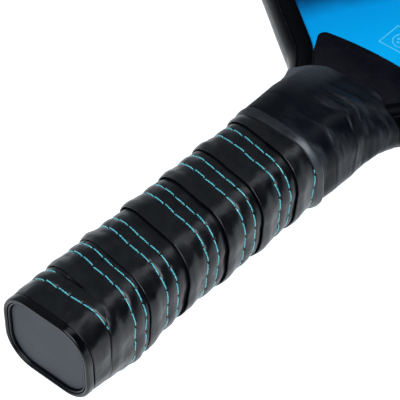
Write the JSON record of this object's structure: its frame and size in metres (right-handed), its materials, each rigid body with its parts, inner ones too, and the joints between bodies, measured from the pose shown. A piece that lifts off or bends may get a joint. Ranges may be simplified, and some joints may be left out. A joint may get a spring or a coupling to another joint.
{
  "type": "pickleball paddle",
  "caption": "Pickleball paddle with a honeycomb blade, edge guard, stitched wrapped grip, butt cap and rubber throat sleeve.",
  "frame": {"origin": "centre of the butt end, on the plane of the butt cap's rim and in the middle of the paddle's thickness", "axes": "+Y from the butt to the head, +Z the outward normal of the front face, X across the width"},
  "size_m": [0.2, 0.4, 0.0308],
  "materials": {
    "core_polymer": "extruded honeycomb, translucent white",
    "fleece": "thin bonded fleece",
    "skin_laminate": "black fibre laminate with a fine speckled texture",
    "printed_film": "cyan-blue printed film, satin gloss",
    "bonding_tape": "thin bonding strip",
    "guard_polymer": "black moulded edge guard, satin",
    "scale_wood": "planed light wood",
    "staple_steel": "drawn wire",
    "cap_polymer": "black moulded cap, satin",
    "badge_polymer": "flat matt grey plate",
    "cushion_foam": "closed-cell foam cushion",
    "grip_leather": "black synthetic leather, semi-gloss, fine grain",
    "closing_tape": "thin adhesive tape",
    "stitch_thread": "teal twisted thread",
    "collar_rubber": "black rubber band, satin",
    "sleeve_rubber": "black stretched rubber tape, matt"
  },
  "bodies": {
    "root": {"honeycomb_core": "core_polymer", "front_fleece": "fleece", "rear_fleece": "fleece", "front_skin": "skin_laminate", "rear_skin": "skin_laminate", "front_film": "printed_film", "rear_film": "printed_film", "edge_tape": "bonding_tape", "edge_guard": "guard_polymer", "front_handle_scale": "scale_wood", "rear_handle_scale": "scale_wood", "cap_staples": "staple_steel", "butt_cap": "cap_polymer", "end_badge": "badge_polymer", "grip_cushion": "cushion_foam", "grip_wrap": "grip_leather", "finishing_tape": "closing_tape", "butt_side_stitching": "stitch_thread", "head_side_stitching": "stitch_thread", "collar_band": "collar_rubber", "throat_sleeve": "sleeve_rubber"}
  },
  "joints": []
}
